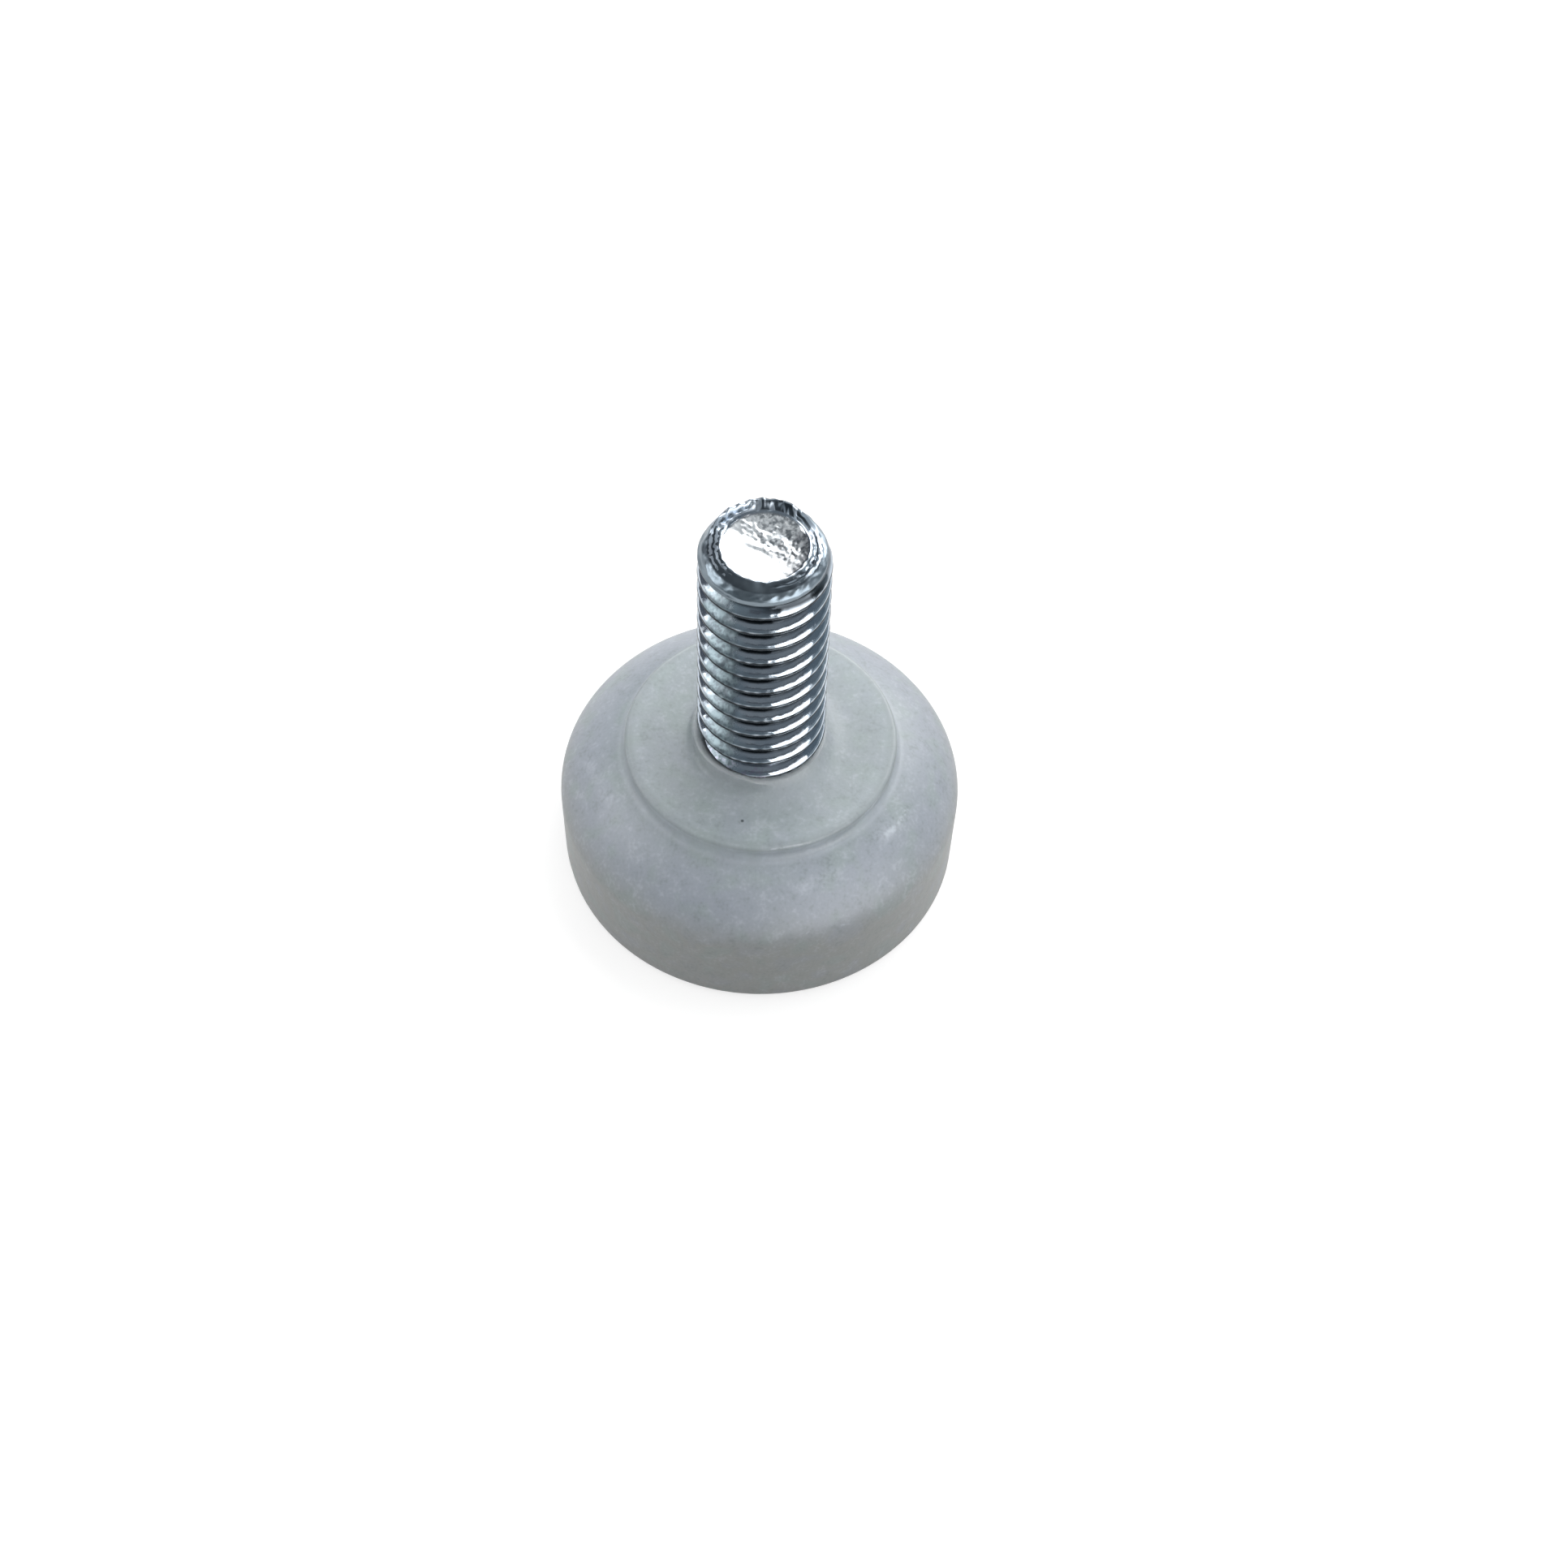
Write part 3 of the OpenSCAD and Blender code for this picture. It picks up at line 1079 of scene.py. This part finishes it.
    def bore_rings(self) -> Array:
        """Rings of the bore: the thread's own form from the collar down, then the head's pocket.

        Returns:
            Rings by columns by 3.
        """
        share = np.linspace(0, 1, 22)[:, None]
        top = self.collar_level()
        z = top + (self.stud.thread_start - top) * share
        hug = self.stud.side_radius(z)
        return np.concatenate([revolved(hug, z), self.stud.held_rings()[::-1]])

    def build(self) -> Object:
        """Makes the foot, in place and in its plastic.

        Returns:
            The foot.
        """
        rings = np.concatenate([self.outer_rings(), self.bore_rings()])
        made = closed_shell(Piece.FOOT, rings, 0.0, self.stud.head_low)
        made.data.materials.append(MilkyPlastic().material(self))
        return made


# ---- the studio


def toward(azimuth: float, elevation: float) -> Vector:
    """Unit vector from the object: azimuth in degrees from the camera's side to its right, and up."""
    a, e = math.radians(azimuth), math.radians(elevation)
    return Vector((math.sin(a) * math.cos(e), -math.cos(a) * math.cos(e), math.sin(e)))


class Reach(Enum):
    """Which part of a surface a lamp lights."""

    GLOSS = "what it mirrors"
    MATT = "what it scatters"


@dataclass(frozen=True)
class Softbox:
    """A rectangular soft lamp that faces the object."""

    name: str
    azimuth: float
    elevation: float
    width: float
    height: float
    level: float
    reach: Reach = Reach.GLOSS
    distance: float = 0.42

    def build(self, target: Vector) -> Object:
        """Makes the lamp, whose level is the brightness of its face.

        Args:
            target: The point that it faces.

        Returns:
            The lamp.
        """
        lamp = bpy.data.lights.new(self.name, "AREA")
        lamp.shape = "RECTANGLE"
        lamp.size, lamp.size_y = self.width, self.height
        lamp.energy = self.level * math.pi * self.width * self.height
        made = added(self.name, lamp)
        made.location = target + toward(self.azimuth, self.elevation) * self.distance
        made.rotation_euler = (target - made.location).to_track_quat("-Z", "Y").to_euler()
        made.visible_camera = False
        made.visible_glossy = self.reach is Reach.GLOSS
        made.visible_diffuse = self.reach is Reach.MATT
        return made


@dataclass(frozen=True)
class Card:
    """A plain curved card that stands round the object, for the metal to reflect.

    Azimuths and elevations are in degrees. Lean is how far the last azimuth moves with each
    degree of elevation above the lowest. Fade is the tone at the last azimuth, where it isn't
    the same as at the first.
    """

    name: str
    azimuths: tuple[float, float]
    elevations: tuple[float, float]
    tone: tuple[float, float, float]
    lean: float = 0.0
    fade: tuple[float, float, float] | None = None
    distance: float = 0.6

    def build(self, target: Vector) -> Object:
        """Makes the card: a patch of a sphere round the target.

        Args:
            target: The centre of the sphere.

        Returns:
            The card, unseen by the camera.
        """
        columns, rows = 25, 9
        rise = np.linspace(0, self.elevations[1] - self.elevations[0], rows)[:, None]
        share = np.linspace(0, 1, columns)[None, :]
        a = np.radians(self.azimuths[0] + (self.azimuths[1] + self.lean * rise - self.azimuths[0]) * share)
        e = np.radians(self.elevations[0] + rise)
        patch = np.stack([np.sin(a) * np.cos(e), -np.cos(a) * np.cos(e), np.sin(e) + 0 * a], axis=2)
        points = np.asarray(target) + self.distance * patch.reshape(-1, 3)
        index = np.arange(rows * columns).reshape(rows, columns)
        faces = np.stack([index[:-1, :-1], index[1:, :-1], index[1:, 1:], index[:-1, 1:]], axis=2)
        made = mesh_object(self.name, points.tolist(), faces.reshape(-1, 4).tolist())
        painted = np.ones((rows, columns, 4))
        painted[..., :3] = self.tone + (np.asarray(self.fade or self.tone) - self.tone) * share[..., None]
        tones = made.data.color_attributes.new("tone", "FLOAT_COLOR", "POINT")
        tones.data.foreach_set("color", painted.ravel())
        recipe = Recipe(bpy.data.materials.new(self.name))
        tone = recipe.node("ShaderNodeAttribute", {"attribute_name": "tone"}).outputs["Color"]
        glow = recipe.join(recipe.node("ShaderNodeEmission", {}, {"Color": tone}))
        glow.cycles.emission_sampling = "NONE"
        made.data.materials.append(glow)
        made.visible_camera = made.visible_diffuse = False
        return made


@dataclass(frozen=True)
class View:
    """Where the camera stands. Angles are in degrees and lengths in metres."""

    elevation: float = 53.73
    distance: float = 0.212
    roll: float = 1.39
    aim_right: float = 0.388
    aim_down: float = 0.796
    lens: float = 78.64
    sensor: float = 36.0

    def build(self, target: Vector) -> Object:
        """Makes the camera, and gives it to the scene.

        Args:
            target: The point that the distance and the elevation are measured from.

        Returns:
            The camera.
        """
        data = bpy.data.cameras.new("camera")
        data.lens, data.sensor_width = self.lens, self.sensor
        data.clip_start = 0.01
        made = added("camera", data)
        back = toward(0, self.elevation)
        turn = back.to_track_quat("Z", "Y").to_matrix()
        turn = turn @ Matrix.Rotation(math.radians(self.roll), 3, "Z")
        turn = turn @ Matrix.Rotation(math.radians(-self.aim_right), 3, "Y")
        turn = turn @ Matrix.Rotation(math.radians(-self.aim_down), 3, "X")
        made.matrix_world = Matrix.Translation(target + back * self.distance) @ turn.to_4x4()
        bpy.context.scene.camera = made
        return made


@dataclass
class Studio:
    """The floor, the lamps, the cards, the white surround and the camera."""

    target: Vector
    floor_size: float = 3.0
    floor_gap: float = 0.02 * MM
    ambient: float = 0.05
    bounce: Colour = (0.15, 0.15, 0.15, 1.0)
    pale: Colour = (0.42, 0.42, 0.42, 1.0)
    floor_glow: float = 0.7

    def plain_look(self, recipe: Recipe) -> Value:
        """How far a ray is one that the camera sees.

        Args:
            recipe: The material or the world that the ray meets.

        Returns:
            1 for what is seen straight on, in a reflection or through glass, else 0.
        """
        rays = recipe.node("ShaderNodeLightPath").outputs
        seen = Value(recipe, rays["Is Camera Ray"]).math("MAXIMUM", Value(recipe, rays["Is Glossy Ray"]))
        return seen.math("MAXIMUM", Value(recipe, rays["Is Transmission Ray"]))

    def build_floor(self) -> Object:
        """Makes the pale floor, which looks white yet keeps the object's shadow.

        Returns:
            The floor.
        """
        half = self.floor_size / 2
        corners = ((-half, -half), (half, -half), (half, half), (-half, half))
        made = mesh_object("floor", [(x, y, -self.floor_gap) for x, y in corners], [(0, 1, 2, 3)])
        recipe = Recipe(bpy.data.materials.new("pale_floor"))
        seen = self.plain_look(recipe)
        tone = recipe.mix(seen, self.bounce, self.pale)
        matt = recipe.node("ShaderNodeBsdfDiffuse", {}, {"Color": tone})
        glow = recipe.node("ShaderNodeEmission", {}, {"Color": WHITE, "Strength": seen * self.floor_glow})
        both = recipe.node("ShaderNodeAddShader", {}, {0: matt.outputs[0], 1: glow.outputs[0]})
        made.data.materials.append(recipe.join(both))
        return made

    def build_world(self) -> None:
        """Makes the surround: white to look at, and a faint even light on the object."""
        recipe = Recipe(bpy.data.worlds.new("surround"), "ShaderNodeOutputWorld")
        strength = self.plain_look(recipe) * (1 - self.ambient) + self.ambient
        light = recipe.node("ShaderNodeBackground", {}, {"Color": WHITE, "Strength": strength})
        bpy.context.scene.world = recipe.join(light)

    def build(self) -> None:
        """Makes everything that stands round the object."""
        self.build_floor()
        self.build_world()
        View().build(self.target)
        sky = (("back_right", 135, 4.3), ("right", 45, 1.3), ("left", -90, 0.8))
        low = (("front", 0, 1.9), ("right", 90, 1.6), ("back", 180, 2.0), ("back_left", -135, 1.2),
               ("left", -90, 1.3))
        boxes = (
            Softbox("window_right", 42, 22, 0.45, 0.27, 3.2),
            Softbox("window_left", -94, 33, 0.18, 0.22, 3.2),
            Softbox("window_back", 155, 33, 0.52, 0.40, 3.4),
            *(Softbox("sky_" + side, turn, 62, 0.25, 0.25, level, Reach.MATT) for side, turn, level in sky),
            *(Softbox("low_" + side, turn, 28, 0.32, 0.30, level, Reach.MATT) for side, turn, level in low),
        )
        cards = (
            Card("ceiling", (-180, 180), (78, 90), (0.60, 0.63, 0.65)),
            Card("ceiling_front", (-100, 100), (50, 78), (0.20, 0.22, 0.24)),
            Card("ceiling_back", (100, 260), (57, 78), (0.48, 0.51, 0.53)),
            Card("front_top", (-34, 76), (43, 50), (0.09, 0.10, 0.115)),
            Card("front_high", (-34, 12), (14, 43), (0.135, 0.16, 0.18), 0.4),
            Card("front_low", (-34, 6), (1, 14), (0.36, 0.40, 0.42), 0.47),
            Card("left_front", (-81, -34), (14, 50), (0.24, 0.30, 0.33), fade=(0.135, 0.16, 0.18)),
            Card("left_low", (-81, -34), (1, 14), (0.24, 0.30, 0.33), fade=(0.36, 0.40, 0.42)),
            Card("left_back", (-165, -107), (1, 57), (0.10, 0.11, 0.13)),
            Card("right_back", (71, 128), (20, 50), (0.12, 0.15, 0.18), fade=(0.15, 0.19, 0.22)),
            Card("right_low", (71, 128), (1, 20), (0.28, 0.33, 0.36)),
        )
        for item in (*boxes, *cards):
            item.build(self.target)
            LOG.info("studio: %s", item.name)


# ---- putting it together


def place(made: Object, piece: Piece, slot: Slot) -> None:
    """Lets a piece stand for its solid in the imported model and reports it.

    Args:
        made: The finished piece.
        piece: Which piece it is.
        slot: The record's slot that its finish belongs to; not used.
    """
    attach(made, "root")
    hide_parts(piece.value)
    LOG.info("%s: %d points, %d faces", made.name, len(made.data.vertices), len(made.data.polygons))


def mount(name: str) -> Mapping[str, Any]:
    """The record's mount of that name."""
    return next(m for m in frame["record"]["mounts"] if m["name"] == name)


def millimetres(node: Piece) -> tuple[Vector, Vector]:
    """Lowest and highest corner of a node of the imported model, in millimetres."""
    low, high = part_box(node.value)
    return low / MM, high / MM


def set_view_settings() -> None:
    """Colours come out as they are written."""
    bpy.context.scene.view_settings.view_transform = "Standard"


def main() -> None:
    """Builds the stud, the foot moulded round it, and the studio."""
    logging.basicConfig(level=logging.INFO, format="%(name)s: %(message)s")
    set_view_settings()
    stud_low, stud_high = millimetres(Piece.STUD)
    foot_high = millimetres(Piece.FOOT)[1]
    stud = ThreadedStud(
        thread_r=mount("stud")["dims"]["r_mm"],
        head_low=stud_low.z,
        head_corner_r=stud_high.x,
        tip=stud_high.z,
        boss_top=foot_high.z - FootBody.collar_h,
    )
    foot = FootBody(stud=stud, foot_r=foot_high.x, collar_top=foot_high.z)
    place(stud.build(), Piece.STUD, Slot.ZINC)
    place(foot.build(), Piece.FOOT, Slot.PLASTIC)
    Studio(Vector((0, 0, foot.boss_top * MM))).build()


if __name__ == "__main__":
    main()
